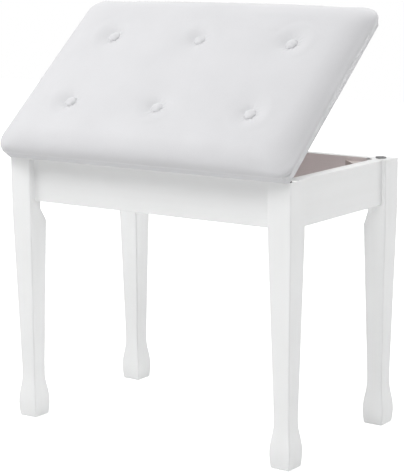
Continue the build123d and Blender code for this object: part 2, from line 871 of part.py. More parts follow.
with BuildPart() as stay_studs:
    for side in sides.values():
        head_x = side * (stay_x - bracket_inner)
        seat = Plane(
            origin=(head_x, hinge_y + stud_y, hinge_z - stay_stud_drop),
            z_dir=(side, 0, 0),
        )
        add_screws(
            [seat],
            2 * stud_radius,
            bracket_inner + arm_thickness,
            2 * stud_head_radius,
            stud_head_height,
        )
save(stay_studs, "stay_studs")

with BuildPart() as stay_rivets:
    for side in sides.values():
        rivet_length = head_gap + ear_inner + plate_thickness
        start = lid_plane.from_local_coords((side * (stay_x - head_gap), pivot_y, pivot_z))
        seat = Plane(origin=start, z_dir=(side, 0, 0))
        add_screws([seat], 2 * rivet_radius, rivet_length, 2 * rivet_head_radius, rivet_head_height)
        with Locations(seat.offset(rivet_length)):
            Cylinder(rivet_head_radius, rivet_head_height, align=from_seat)
save(stay_rivets, "stay_rivets")

with BuildPart() as stay_bracket_screws:
    add_screws(
        stay_bracket_seats(-1) + stay_bracket_seats(1),
        stay_screw_diameter,
        stay_screw_bite,
        stay_screw_head,
        stay_screw_head_height,
    )
save(stay_bracket_screws, "stay_bracket_screws")

with BuildPart() as lid_ear_screws:
    add_screws(
        lid_ear_seats(-1) + lid_ear_seats(1),
        stay_screw_diameter,
        stay_screw_bite + plate_thickness,
        stay_screw_head,
        stay_screw_head_height,
    )
save(lid_ear_screws, "lid_ear_screws")

pivot_rest = lid_plane.from_local_coords((stay_x, pivot_y, pivot_z))
print(f"hinge pin at y {hinge_y:.3f}, z {hinge_z:.3f}")
print(f"stay pivot at y {pivot_rest.Y:.3f}, z {pivot_rest.Z:.3f}, x {stay_x:.3f}")
print(f"box inside half sizes {box_half_length:.2f}, {box_half_depth:.2f}, floor top {floor_top:.2f}")
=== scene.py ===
import json
import math

import bpy
import numpy as np
from mathutils import Matrix, Vector


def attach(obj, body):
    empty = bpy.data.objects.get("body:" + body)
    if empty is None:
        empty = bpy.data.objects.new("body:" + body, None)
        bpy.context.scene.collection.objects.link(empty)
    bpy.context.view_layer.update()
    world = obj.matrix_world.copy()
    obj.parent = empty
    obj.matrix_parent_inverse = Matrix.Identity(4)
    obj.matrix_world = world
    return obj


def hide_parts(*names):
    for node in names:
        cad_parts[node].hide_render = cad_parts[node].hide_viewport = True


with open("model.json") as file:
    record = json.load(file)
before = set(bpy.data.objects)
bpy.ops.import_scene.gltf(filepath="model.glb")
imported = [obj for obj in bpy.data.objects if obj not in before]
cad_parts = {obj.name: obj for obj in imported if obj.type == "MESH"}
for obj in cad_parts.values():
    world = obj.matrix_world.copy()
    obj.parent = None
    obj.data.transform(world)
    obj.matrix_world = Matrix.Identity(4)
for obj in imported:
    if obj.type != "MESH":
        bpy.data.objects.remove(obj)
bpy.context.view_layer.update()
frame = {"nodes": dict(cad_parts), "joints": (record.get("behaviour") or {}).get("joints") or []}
nodes = frame["nodes"]
scene = bpy.context.scene
print("frame loaded:", len(nodes), "nodes")

# the lid's own frame: origin on the hinge pin, y back along the lid, z out of its seat
lid = {
    "angle": 40.1,
    "length": 0.5315,
    "depth": 0.3286,
    "front": 0.0061,  # lower front edge ahead of the pin
    "underside": 0.0013,
    "boardTop": 0.0161,
}
hingePin = Vector(frame["joints"][0]["pos_m"])
lidMatrix = Matrix.Translation(hingePin) @ Matrix.Rotation(math.radians(lid["angle"]), 4, "X")
lidInverse = lidMatrix.inverted()
lidUp = tuple(lidMatrix.to_3x3() @ Vector((0, 0, 1)))
lidMiddle = lid["depth"] / 2 - lid["front"]

mergeGap = 1e-6  # points nearer than this are one
sameLevel = 1e-5  # heights nearer than this are one
squarely = 0.9  # how upright a normal has to be to face up or down


# small tools for working by hand
def only(piece):
    bpy.ops.object.select_all(action="DESELECT")
    piece.select_set(True)
    bpy.context.view_layer.objects.active = piece


def pick(piece, kind, test):
    # select faces or edges by their place, then go to edit mode
    only(piece)
    bpy.ops.object.mode_set(mode="EDIT")
    bpy.ops.mesh.select_mode(type=kind)
    bpy.ops.mesh.select_all(action="DESELECT")
    bpy.ops.object.mode_set(mode="OBJECT")
    mesh = piece.data
    if kind == "FACE":
        for face in mesh.polygons:
            face.select = test(face.center, face.normal)
    else:
        for edge in mesh.edges:
            a, b = (mesh.vertices[i].co for i in edge.vertices)
            edge.select = test(a, b)
    bpy.ops.object.mode_set(mode="EDIT")


def done():
    bpy.ops.object.mode_set(mode="OBJECT")


def settle(piece):
    # place, turn and size go into the mesh
    only(piece)
    bpy.ops.object.transform_apply(location=True, rotation=True, scale=True)


def namePiece(name):
    piece = bpy.context.object
    piece.name = name
    piece.data.name = name
    return piece


def addForm(name, primitive, scale=(1, 1, 1), **settings):
    # a primitive to start from, at its size and place
    bpy.ops.object.select_all(action="DESELECT")
    primitive(**settings)
    piece = namePiece(name)
    piece.scale = scale
    settle(piece)
    return piece


def makeRound(sides, radius, low, high):
    return addForm(
        "round",
        bpy.ops.mesh.primitive_cylinder_add,
        vertices=sides,
        radius=radius,
        depth=high - low,
        location=(0, 0, (low + high) / 2),
    )


def atLevel(a, b, level):
    return max(abs(a.z - level), abs(b.z - level)) < sameLevel


def roundEdges(piece, level, offset, segments):
    pick(piece, "EDGE", lambda a, b: atLevel(a, b, level))
    bpy.ops.mesh.bevel(offset=offset, segments=segments, affect="EDGES", profile=0.5)
    done()


def drawUp(height):
    bpy.ops.mesh.extrude_region_move(TRANSFORM_OT_translate={"value": (0, 0, height)})


def finishWith(piece, kind, **settings):
    only(piece)
    modifier = piece.modifiers.new(kind.lower(), kind)
    for key, value in settings.items():
        setattr(modifier, key, value)
    bpy.ops.object.modifier_apply(modifier=modifier.name)


def cutWith(piece, cutter, operation="DIFFERENCE"):
    finishWith(piece, "BOOLEAN", operation=operation, object=cutter, solver="EXACT")
    bpy.data.objects.remove(cutter)


def faceOut(piece):
    only(piece)
    bpy.ops.object.mode_set(mode="EDIT")
    bpy.ops.mesh.select_all(action="SELECT")
    bpy.ops.mesh.remove_doubles(threshold=mergeGap)
    bpy.ops.mesh.normals_make_consistent(inside=False)
    done()


def softEdges(piece, angle):
    only(piece)
    bpy.ops.object.shade_smooth_by_angle(angle=math.radians(angle))


def points(mesh):
    flat = np.empty(len(mesh.vertices) * 3)
    mesh.vertices.foreach_get("co", flat)
    return flat.reshape(-1, 3)


def setPoints(mesh, places):
    mesh.vertices.foreach_set("co", np.asarray(places, float).ravel())
    mesh.update()


def middleOf(places):
    return (places.min(0) + places.max(0)) / 2


def inLid(places):
    return np.array([lidInverse @ Vector(p) for p in places])


def islandsOf(nodeName):
    # the separate solids of a CAD node, each as its points
    mesh = nodes[nodeName].data
    keys, index = np.unique(np.round(points(mesh), 6), axis=0, return_inverse=True)
    index = index.ravel()
    parent = list(range(len(keys)))

    def root(i):
        while parent[i] != i:
            parent[i] = parent[parent[i]]
            i = parent[i]
        return i

    for face in mesh.polygons:
        first = root(index[face.vertices[0]])
        for corner in face.vertices[1:]:
            parent[root(index[corner])] = first
    groups = {}
    for i in range(len(keys)):
        groups.setdefault(root(i), []).append(i)
    return [keys[group] for group in groups.values()]


def seatOf(solid, directions, flat=False):
    # a solid's axis as (outer end, outward direction, inner end); the wider end is outer
    spread = [np.ptp(solid @ np.array(d)) for d in directions]
    axis = np.array(directions[int(np.argmin(spread) if flat else np.argmax(spread))])
    middle = solid.mean(0)
    along = (solid - middle) @ axis
    away = np.linalg.norm((solid - middle) - np.outer(along, axis), axis=1)
    high, low = along.max(), along.min()
    tip = 0.2 * (high - low)  # the part of the length that counts as an end
    if away[along < low + tip].max() > away[along > high - tip].max() + sameLevel:
        axis, high, low = -axis, -low, -high
    return Vector(middle + axis * high), Vector(axis), Vector(middle + axis * low)


def standOn(spot, direction):
    return Matrix.Translation(spot) @ direction.to_track_quat("Z", "Y").to_matrix().to_4x4()


def copyTo(template, places, name):
    # one mesh for each place, joined into one piece
    copies = []
    for place in places:
        copy = template.copy()
        copy.data = template.data.copy()
        copy.data.transform(place)
        scene.collection.objects.link(copy)
        copies.append(copy)
    bpy.data.objects.remove(template)
    bpy.ops.object.select_all(action="DESELECT")
    for copy in copies:
        copy.select_set(True)
    bpy.context.view_layer.objects.active = copies[0]
    if len(copies) > 1:
        bpy.ops.object.join()
    return namePiece(name)


def handOver(piece, body, slot, material, *replaced):
    piece.data.materials.clear()
    piece.data.materials.append(material)
    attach(piece, body)
    if replaced:
        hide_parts(*replaced)


# camera at the photograph's place
view = {
    "spot": (1.51195, -2.11638, 0.78736),
    "yaw": 35.426,
    "pitch": 10.532,
    "roll": -0.407,
    "lens": 126.497,
    "sensor": 36.0,
    "clipEnd": 100.0,
}


def makeCamera():
    yaw, pitch, roll = (math.radians(view[k]) for k in ("yaw", "pitch", "roll"))
    level = math.cos(pitch)
    ahead = Vector((-math.sin(yaw) * level, math.cos(yaw) * level, -math.sin(pitch)))
    right = Vector((math.cos(yaw), math.sin(yaw), 0))
    up = right.cross(ahead)
    across = right * math.cos(roll) + up * math.sin(roll)
    upward = up * math.cos(roll) - right * math.sin(roll)
    data = bpy.data.cameras.new("photoCamera")
    data.sensor_fit = "VERTICAL"
    data.sensor_height = view["sensor"]
    data.lens = view["lens"]
    data.clip_end = view["clipEnd"]
    camera = bpy.data.objects.new("photoCamera", data)
    scene.collection.objects.link(camera)
    turn = Matrix((across, upward, -ahead)).transposed().to_4x4()
    camera.matrix_world = Matrix.Translation(view["spot"]) @ turn
    scene.camera = camera


makeCamera()
print("camera set")


# shader helpers
noiseRange = (0.3, 0.7)  # where most of a noise lies


def addNode(tree, kind, values=None, **settings):
    node = tree.nodes.new(kind)
    for key, value in settings.items():
        setattr(node, key, value)
    for key, value in (values or {}).items():
        node.inputs[key].default_value = value
    return node


def noise(tree, place, scale, detail, **values):
    node = addNode(tree, "ShaderNodeTexNoise", {"Scale": scale, "Detail": detail, **values})
    tree.links.new(place, node.inputs["Vector"])
    return node.outputs["Fac"]


def mapped(tree, place, **values):
    node = addNode(tree, "ShaderNodeMapping", values)
    tree.links.new(place, node.inputs["Vector"])
    return node.outputs["Vector"]


def mathStep(tree, operation, a, b):
    # a and b are sockets or numbers
    node = tree.nodes.new("ShaderNodeMath")
    node.operation = operation
    for socket, value in zip(node.inputs, (a, b)):
        if isinstance(value, (int, float)):
            socket.default_value = value
        else:
            tree.links.new(value, socket)
    return node.outputs[0]


def span(tree, value, fromRange, toRange=(0.0, 1.0)):
    ends = zip(("From Min", "From Max", "To Min", "To Max"), (*fromRange, *toRange))
    node = addNode(tree, "ShaderNodeMapRange", dict(ends))
    tree.links.new(value, node.inputs["Value"])
    return node.outputs["Result"]


def newGroup(name, inputs, outputs):
    tree = bpy.data.node_groups.new(name, "ShaderNodeTree")
    for label, kind in inputs:
        tree.interface.new_socket(name=label, in_out="INPUT", socket_type=kind)
    for label in outputs:
        tree.interface.new_socket(name=label, in_out="OUTPUT", socket_type="NodeSocketFloat")
    source, target = tree.nodes.new("NodeGroupInput"), tree.nodes.new("NodeGroupOutput")
    return tree, source.outputs, target.inputs


def putOut(tree, target, **sockets):
    for label, socket in sockets.items():
        tree.links.new(socket, target[label])
    return tree


filmGrain = {
    "streakRoughness": 0.6,
    "peelScale": 520.0,
    "patchScale": 9.0,
    "streakRelief": 0.7,
    "peelRelief": 0.35,
    "tone": (0.12, 0.45),
    "gloss": (0.33, 0.43),
}


def makeFilmGroup():
    # brushed paint film: faint streaks along the wood, fine peel, uneven gloss
    tree, source, target = newGroup(
        "paintFilm",
        [("Streaks", "NodeSocketVector"), ("Place", "NodeSocketVector")],
        ["Tone", "Gloss", "Relief"],
    )
    streak = noise(tree, source["Streaks"], 1.0, 4.0, Roughness=filmGrain["streakRoughness"])
    peel = noise(tree, source["Place"], filmGrain["peelScale"], 2.0)
    patch = noise(tree, source["Place"], filmGrain["patchScale"], 3.0)
    streaks = mathStep(tree, "MULTIPLY", streak, filmGrain["streakRelief"])
    peeling = mathStep(tree, "MULTIPLY", peel, filmGrain["peelRelief"])
    tone = mathStep(tree, "MULTIPLY", streak, patch)
    return putOut(
        tree,
        target,
        Tone=span(tree, tone, filmGrain["tone"]),
        Gloss=span(tree, patch, noiseRange, filmGrain["gloss"]),
        Relief=mathStep(tree, "ADD", streaks, peeling),
    )


# inner faces of the storage box
boxInner = {"middle": 0.012, "halfLength": 0.2413, "halfDepth": 0.1299, "floor": 0.364, "rim": 0.4297}


def makeBoxGroup():
    # 1 on the inner walls of the storage box, 0 elsewhere
    tree, source, target = newGroup("boxInside", [("Place", "NodeSocketVector")], ["Mask"])
    split = addNode(tree, "ShaderNodeSeparateXYZ")
    tree.links.new(source["Place"], split.inputs[0])
    x, y, z = (split.outputs[axis] for axis in "XYZ")
    sideways = mathStep(tree, "ABSOLUTE", x, 0.0)
    backward = mathStep(tree, "ABSOLUTE", mathStep(tree, "SUBTRACT", y, boxInner["middle"]), 0.0)
    mask = mathStep(tree, "LESS_THAN", sideways, boxInner["halfLength"])
    for operation, value, limit in (
        ("LESS_THAN", backward, "halfDepth"),
        ("GREATER_THAN", z, "floor"),
        ("LESS_THAN", z, "rim"),
    ):
        mask = mathStep(tree, "MULTIPLY", mask, mathStep(tree, operation, value, boxInner[limit]))
    return putOut(tree, target, Mask=mask)


pebbles = {
    "warpScale": 240.0,
    "warp": 0.0012,
    "randomness": 0.9,
    "smoothness": 0.35,
    "slowScale": 14.0,
    "relief": (0.15, 0.75),
    "pores": (0.5, 0.85),
    "slow": (0.35, 0.7),
    "toneShare": (0.0, 0.5),  # pores and slow change make half of the tone each
    "gloss": (0.40, 0.50),
}


def makeHideGroup():
    # pebbled skin: small cells, pores between them, slow uneven tone
    tree, source, target = newGroup(
        "hideGrain",
        [("Place", "NodeSocketVector"), ("Cells", "NodeSocketFloat")],
        ["Tone", "Gloss", "Relief"],
    )
    warp = addNode(tree, "ShaderNodeTexNoise", {"Scale": pebbles["warpScale"], "Detail": 2.0})
    shift = addNode(tree, "ShaderNodeVectorMath", {1: [pebbles["warp"]] * 3}, operation="MULTIPLY_ADD")
    cells = addNode(
        tree,
        "ShaderNodeTexVoronoi",
        {"Randomness": pebbles["randomness"], "Smoothness": pebbles["smoothness"]},
        feature="SMOOTH_F1",
    )
    tree.links.new(source["Place"], warp.inputs["Vector"])
    tree.links.new(warp.outputs["Color"], shift.inputs[0])
    tree.links.new(source["Place"], shift.inputs[2])
    tree.links.new(shift.outputs[0], cells.inputs["Vector"])
    tree.links.new(source["Cells"], cells.inputs["Scale"])
    distance = cells.outputs["Distance"]
    slow = noise(tree, source["Place"], pebbles["slowScale"], 3.0)
    pores = span(tree, distance, pebbles["pores"], pebbles["toneShare"])
    drift = span(tree, slow, pebbles["slow"], pebbles["toneShare"])
    return putOut(
        tree,
        target,
        Tone=mathStep(tree, "ADD", pores, drift),
        Gloss=span(tree, slow, noiseRange, pebbles["gloss"]),
        Relief=span(tree, distance, pebbles["relief"], (1.0, 0.0)),
    )


plating = {"cloudScale": 120.0, "scratchScale": 1800.0, "gloss": (0.28, 0.46)}


def makeMetalGroup():
    # plated metal: fine scratches and clouded gloss
    tree, source, target = newGroup(
        "platedMetal", [("Place", "NodeSocketVector")], ["Tone", "Gloss", "Relief"]
    )
    cloud = noise(tree, source["Place"], plating["cloudScale"], 4.0)
    return putOut(
        tree,
        target,
        Tone=span(tree, cloud, noiseRange),
        Gloss=span(tree, cloud, noiseRange, plating["gloss"]),
        Relief=noise(tree, source["Place"], plating["scratchScale"], 2.0),
    )


paintFilm = makeFilmGroup()
boxInside = makeBoxGroup()
hideGrain = makeHideGroup()
platedMetal = makeMetalGroup()


def newMaterial(name):
    material = bpy.data.materials.new(name)
    material.use_nodes = True
    tree = material.node_tree
    shader = tree.nodes["Principled BSDF"]
    coords = tree.nodes.new("ShaderNodeTexCoord")
    return material, tree, shader, coords.outputs["Object"]


def mixColours(tree, factor, first, second):
    # first and second are colours or sockets
    node = tree.nodes.new("ShaderNodeMix")
    node.data_type = "RGBA"
    tree.links.new(factor, node.inputs[0])
    for socket, value in zip((node.inputs[6], node.inputs[7]), (first, second)):
        if isinstance(value, tuple):
            socket.default_value = (*value, 1.0)
        else:
            tree.links.new(value, socket)
    return node.outputs[2]


def useGroup(tree, group, links):
    node = tree.nodes.new("ShaderNodeGroup")
    node.node_tree = group
    for key, value in links.items():
        if isinstance(value, (int, float)):
            node.inputs[key].default_value = value
        else:
            tree.links.new(value, node.inputs[key])
    return node.outputs


def coat(tree, shader, look, colour, gloss, height):
    # colour, gloss and relief onto the shader; gloss is a socket or a number
    tree.links.new(colour, shader.inputs["Base Color"])
    if isinstance(gloss, float):
        shader.inputs["Roughness"].default_value = gloss
    else:
        tree.links.new(gloss, shader.inputs["Roughness"])
    bump = addNode(tree, "ShaderNodeBump", {"Strength": look["relief"], "Distance": look["reliefHeight"]})
    tree.links.new(height, bump.inputs["Height"])
    tree.links.new(bump.outputs["Normal"], shader.inputs["Normal"])
    if "sheen" in look:
        shader.inputs["Specular IOR Level"].default_value = look["sheen"]


paintLook = {
    "white": (0.90, 0.905, 0.905),
    "shade": (0.87, 0.875, 0.873),
    "inside": (0.89, 0.83, 0.83),
    "insideShade": (0.83, 0.77, 0.77),
    # raw timber tones for the corner blocks, made darker as painted shade for the box's shaded corners
    "shadedBare": (0.60, 0.53, 0.51),
    "shadedBareLow": (0.53, 0.46, 0.44),
    "long": 2.5,  # streaks per metre along the wood
    "cross": 70.0,
    "relief": 0.16,
    "reliefHeight": 0.0004,
    "sheen": 0.32,
}


def makePaint(name, along, inside=False, tones=("white", "shade")):
    material, tree, shader, place = newMaterial(name)
    stretch = [paintLook["cross"]] * 3
    stretch["XYZ".index(along)] = paintLook["long"]
    film = useGroup(tree, paintFilm, {"Streaks": mapped(tree, place, Scale=stretch), "Place": place})
    colour = mixColours(tree, film["Tone"], *[paintLook[tone] for tone in tones])
    if inside:
        mask = useGroup(tree, boxInside, {"Place": place})["Mask"]
        raw = mixColours(tree, film["Tone"], paintLook["inside"], paintLook["insideShade"])
        colour = mixColours(tree, mask, colour, raw)
    coat(tree, shader, paintLook, colour, film["Gloss"], film["Relief"])
    return material


hideLook = {
    "white": (0.665, 0.665, 0.68),
    "shade": (0.63, 0.63, 0.645),
    "cells": 900.0,
    "relief": 0.22,
    "reliefHeight": 0.0002,
    "sheen": 0.22,
}


def makeHide(name):
    material, tree, shader, place = newMaterial(name)
    grain = useGroup(tree, hideGrain, {"Place": place, "Cells": hideLook["cells"]})
    colour = mixColours(tree, grain["Tone"], hideLook["white"], hideLook["shade"])
    coat(tree, shader, hideLook, colour, grain["Gloss"], grain["Relief"])
    return material


metalLook = {"relief": 0.08, "reliefHeight": 0.00005}


def makeMetal(name, bright, dull, metallic):
    material, tree, shader, place = newMaterial(name)
    plate = useGroup(tree, platedMetal, {"Place": place})
    colour = mixColours(tree, plate["Tone"], bright, dull)
    coat(tree, shader, metalLook, colour, plate["Gloss"], plate["Relief"])
    shader.inputs["Metallic"].default_value = metallic
    return material


rubberLook = {
    "dark": (0.20, 0.20, 0.205),
    "bloom": (0.29, 0.29, 0.295),
    "grainScale": 1500.0,
    "bloomScale": 160.0,
    "gloss": (0.55, 0.75),
    "relief": 0.25,
    "reliefHeight": 0.0002,
}


def makeRubber(name):
    material, tree, shader, place = newMaterial(name)
    grain = noise(tree, place, rubberLook["grainScale"], 3.0)
    bloom = noise(tree, place, rubberLook["bloomScale"], 3.0)
    colour = mixColours(tree, bloom, rubberLook["dark"], rubberLook["bloom"])
    coat(tree, shader, rubberLook, colour, span(tree, bloom, noiseRange, rubberLook["gloss"]), grain)
    return material


clothLook = {
    "fibre": (0.70, 0.69, 0.67),
    "lightFibre": (0.82, 0.81, 0.79),
    "pressed": (0.62, 0.61, 0.59),
    "gridTurn": 0.785,
    "gridScale": 620.0,
    "gridRandomness": 0.05,
    "gridRange": (0.2, 0.45),
    "fibreScale": 900.0,
    "fibreRelief": 0.6,
    "roughness": 0.92,
    "relief": 0.35,
    "reliefHeight": 0.0003,
}


def makeCloth(name):
    # spun-bonded cloth: matted fibres and a grid of pressed points
    material, tree, shader, place = newMaterial(name)
    dots = addNode(
        tree,
        "ShaderNodeTexVoronoi",
        {"Scale": clothLook["gridScale"], "Randomness": clothLook["gridRandomness"]},
    )
    turned = mapped(tree, place, Rotation=(-math.radians(lid["angle"]), 0, clothLook["gridTurn"]))
    tree.links.new(turned, dots.inputs["Vector"])
    fibres = noise(tree, place, clothLook["fibreScale"], 5.0)
    pressed = span(tree, dots.outputs["Distance"], clothLook["gridRange"])
    matted = mathStep(tree, "MULTIPLY", fibres, clothLook["fibreRelief"])
    colour = mixColours(tree, fibres, clothLook["fibre"], clothLook["lightFibre"])
    colour = mixColours(tree, pressed, clothLook["pressed"], colour)
    height = mathStep(tree, "ADD", pressed, matted)
    coat(tree, shader, clothLook, colour, clothLook["roughness"], height)
    return material


plyLook = {
    "dark": (0.60, 0.45, 0.29),
    "light": (0.74, 0.60, 0.42),
    "stretch": (3.0, 45.0, 45.0),
    "distortion": 0.6,
    "gloss": (0.6, 0.75),
    "relief": 0.3,
    "reliefHeight": 0.0004,
}


def makePlywood(name):
    material, tree, shader, place = newMaterial(name)
    turned = mapped(tree, place, Rotation=(-math.radians(lid["angle"]), 0, 0), Scale=plyLook["stretch"])
    grain = noise(tree, turned, 1.0, 5.0, Distortion=plyLook["distortion"])
    colour = mixColours(tree, grain, plyLook["dark"], plyLook["light"])
    coat(tree, shader, plyLook, colour, span(tree, grain, noiseRange, plyLook["gloss"]), grain)
    return material


cordLook = {
    "dark": (0.70, 0.68, 0.63),
    "light": (0.85, 0.83, 0.79),
    "twistScale": 260.0,
    "distortion": 1.5,
    "roughness": 0.85,
    "relief": 0.4,
    "reliefHeight": 0.0003,
}


def makeCord(name):
    material, tree, shader, place = newMaterial(name)
    twist = addNode(
        tree,
        "ShaderNodeTexWave",
        {"Scale": cordLook["twistScale"], "Distortion": cordLook["distortion"]},
        bands_direction="DIAGONAL",
    )
    tree.links.new(place, twist.inputs["Vector"])
    strand = twist.outputs["Fac"]
    colour = mixColours(tree, strand, cordLook["dark"], cordLook["light"])
    coat(tree, shader, cordLook, colour, cordLook["roughness"], strand)
    return material


legPaint = makePaint("legPaint", "Z")
longRailPaint = makePaint("longRailPaint", "X", inside=True)
sideRailPaint = makePaint("sideRailPaint", "Y", inside=True)
# corner blocks: raw timber colour darkened as painted shade for the shade in the box's corners
shadedBlockTimber = makePaint("shadedBlockTimber", "X", tones=("shadedBare", "shadedBareLow"))
coverHide = makeHide("coverHide")
zincPlate = makeMetal("zincPlate", (0.70, 0.70, 0.69), (0.55, 0.55, 0.54), 1.0)
# dark steel: the real colour of the leg fixings; on the hinge pin and its heads it is painted shade, a
# dark dot where the lid's corner meets the leg
darkSteelAndPinShade = makeMetal("darkSteelAndPinShade", (0.09, 0.085, 0.085), (0.055, 0.053, 0.053), 0.85)
bumperRubber = makeRubber("bumperRubber")
liningCloth = makeCloth("liningCloth")
boardPly = makePlywood("boardPly")
tieCord = makeCord("tieCord")
print("materials made")


def dress(material, *names):
    for name in names:
        slots = nodes[name].data.materials
        slots.clear()
        slots.append(material)


# CAD nodes that stay in sight; the new pieces below bring their own finish
corners = ("front_left", "front_right", "back_left", "back_right")
dress(legPaint, *[f"{corner}_leg" for corner in corners])
# the blocks take the darkened timber, which is partly painted shade
dress(shadedBlockTimber, *[f"{corner}_block" for corner in corners])
dress(longRailPaint, "front_rail", "back_rail", "storage_floor")
dress(sideRailPaint, "left_rail", "right_rail")
dress(bumperRubber, "left_bumper", "right_bumper")
dress(boardPly, "lid_board")
dress(tieCord, "button_ties")
# the hinge pin is made dark as painted shade for the gap at the lid's near corner
dress(darkSteelAndPinShade, "hinge_pin")
dress(zincPlate, "frame_hinge_leaf", "lid_hinge_leaf", "stay_studs", "stay_rivets", "tie_washers")
for side in ("left", "right"):
    dress(zincPlate, f"{side}_stay_bracket", f"{side}_lid_ear", f"{side}_stay_arm")
print("frame dressed")

# cover band: the part of the cover drawn round the board's edge and under it
bandShape = {
    "fuller": 0.0016,  # wadding between the cover and the board's edge
    "endLean": 0.0056,
    "sideLean": 0.0018,
    "leanPower": 1.3,
    "rings": 5,
    "corner": 0.0102,
    "cornerSteps": 18,
    "pleats": 4,
    "pleatDepth": 0.0005,
    "cornerFuller": 0.0016,
    "lowerRound": 0.0042,
    "upperRound": 0.0012,
    "roundSteps": 4,
    "overBoard": 0.0034,
    "underPad": 0.012,
    "margin": 0.040,
    "cornerLeft": 0.0004,  # corner radius left after the margin's first inset
    "cornerMerge": 0.0006,
    "thickness": 0.0012,
}


def drawBand(band, length, depth, bottom, top):
    # the cover leans out under the pad and gathers at the board's corners
    places = points(band.data)
    x, y = places[:, 0], places[:, 1] - lidMiddle
    corner, low = bandShape["corner"], bottom + bandShape["lowerRound"]
    inX = np.maximum(np.abs(x) - length / 2 + corner, 0)
    inY = np.maximum(np.abs(y) - depth / 2 + corner, 0)
    turn = np.arctan2(inY, inX)
    share = np.clip(np.hypot(inX, inY) / corner, 0, 1) ** 2
    height = np.clip((places[:, 2] - low) / (top - low), 0, 1)
    lean = bandShape["endLean"] * np.cos(turn) ** 2 + bandShape["sideLean"] * np.sin(turn) ** 2
    pleat = bandShape["pleatDepth"] * np.cos(4 * bandShape["pleats"] * turn)
    fold = np.sin(2 * turn) * (bandShape["cornerFuller"] + pleat)
    out = (lean * height ** bandShape["leanPower"] + fold) * share
    places[:, 0] += np.sign(x) * np.cos(turn) * out
    places[:, 1] += np.sign(y) * np.sin(turn) * out
    setPoints(band.data, places)


def makeBand():
    bottom, top = lid["underside"], lid["boardTop"] + bandShape["overBoard"]
    height = top - bottom
    length, depth = (lid[k] + 2 * bandShape["fuller"] for k in ("length", "depth"))
    plane = bpy.ops.mesh.primitive_plane_add
    band = addForm("coverBand", plane, (length, depth, 1), size=1, location=(0, lidMiddle, bottom))
    bpy.ops.object.mode_set(mode="EDIT")
    bpy.ops.mesh.select_all(action="SELECT")
    bpy.ops.mesh.bevel(
        offset=bandShape["corner"], segments=bandShape["cornerSteps"], affect="VERTICES", profile=0.5
    )
    bpy.ops.mesh.select_all(action="SELECT")
    drawUp(height)
    done()
    pick(band, "EDGE", lambda a, b: atLevel(a, b, bottom))
    bpy.ops.mesh.edge_face_add()
    done()
    faceOut(band)
    roundEdges(band, bottom, bandShape["lowerRound"], bandShape["roundSteps"])
    roundEdges(band, top, bandShape["upperRound"], bandShape["roundSteps"])
    pick(band, "EDGE", lambda a, b: abs(a.z - b.z) > height / 3)
    bpy.ops.mesh.subdivide(number_cuts=bandShape["rings"])
    done()
    # the margin under the board: in to the corner's middle, then on as a plain rectangle
    firstInset = bandShape["corner"] - bandShape["lowerRound"] - bandShape["cornerLeft"]
    pick(band, "FACE", lambda c, n: n.z < -squarely and abs(c.z - bottom) < sameLevel)
    bpy.ops.mesh.inset(thickness=firstInset, depth=0)
    bpy.ops.mesh.remove_doubles(threshold=bandShape["cornerMerge"])
    rest = bandShape["margin"] - bandShape["lowerRound"] - firstInset
    bpy.ops.mesh.inset(thickness=rest, depth=0)
    bpy.ops.mesh.delete(type="FACE")
    done()
    pick(band, "FACE", lambda c, n: n.z > squarely and abs(c.z - top) < sameLevel)
    bpy.ops.mesh.inset(thickness=bandShape["underPad"], depth=0)
    bpy.ops.mesh.delete(type="FACE")
    done()
    drawBand(band, length, depth, bottom, top)
    finishWith(band, "SOLIDIFY", thickness=bandShape["thickness"], offset=-1, use_even_offset=True)
    band.data.transform(lidMatrix)
    softEdges(band, 40)
    handOver(band, "lid", "cover_leather", coverHide)


makeBand()
print("cover band made")

# the pad: the foam's form drawn over at the sides, funnelled at the buttons,
# then swollen a little by cloth under pressure
padShape = {
    "voxel": 0.005,
    "skin": 0.0013,  # cover over the foam
    "bulgeHeight": 0.0233,
    "fuller": 0.0046,
    "rimFuller": 0.0034,
    "backFuller": 0.0028,
    "crown": 0.0023,
    "crownPower": 2.5,
    "shoulder": 0.0055,
    "shoulderStart": 0.64,
    "shoulderFade": 0.7,  # how much of the shoulder is lost at the back
    "rollHeight": 0.014,
    "topLevel": 0.030,
    "tuftRim": 0.038,
    "tuftDepth": 0.011,
    "funnelDepth": 0.0084,
    "funnelReach": 0.017,
    "heldDisc": 0.009,
    "heldRim": 0.003,
    "frames": 20,
    "cap": 0.0025,  # most that the cloth run may move a point
    "evening": 20,
}
# short pulls in the cover, turned towards one side of each button
pullShape = {
    "reach": 0.024,
    "facing": 0.3,
    "count": 13,
    "depth": 0.0010,
    "ring": 0.0135,
    "width": 0.0045,
    "side": -0.6,
    "sidePart": 0.4,
    "stagger": 1.7,
    "waver": 1.3,
}
padCloth = {
    "quality": 6,
    "mass": 0.3,
    "tension_stiffness": 15,
    "compression_stiffness": 15,
    "shear_stiffness": 5,
    "bending_stiffness": 0.6,
    "use_pressure": True,
    "uniform_pressure_force": 4.0,
    "vertex_group_mass": "held",
}
buttonBases = []
for solid in islandsOf("tuft_buttons"):
    local = inLid(solid)
    buttonBases.append(Vector((*middleOf(local)[:2], local[:, 2].min())))


def evenOut(mesh, values, rounds):
    # spread values over neighbouring points
    edges = np.empty(len(mesh.edges) * 2, int)
    mesh.edges.foreach_get("vertices", edges)
    first, second = edges.reshape(-1, 2).T
    counts = np.bincount(edges, minlength=len(values))[:, None]
    for _ in range(rounds):
        total = np.zeros_like(values)
        np.add.at(total, first, values[second])
        np.add.at(total, second, values[first])
        values = (values + total / counts) / 2
    return values


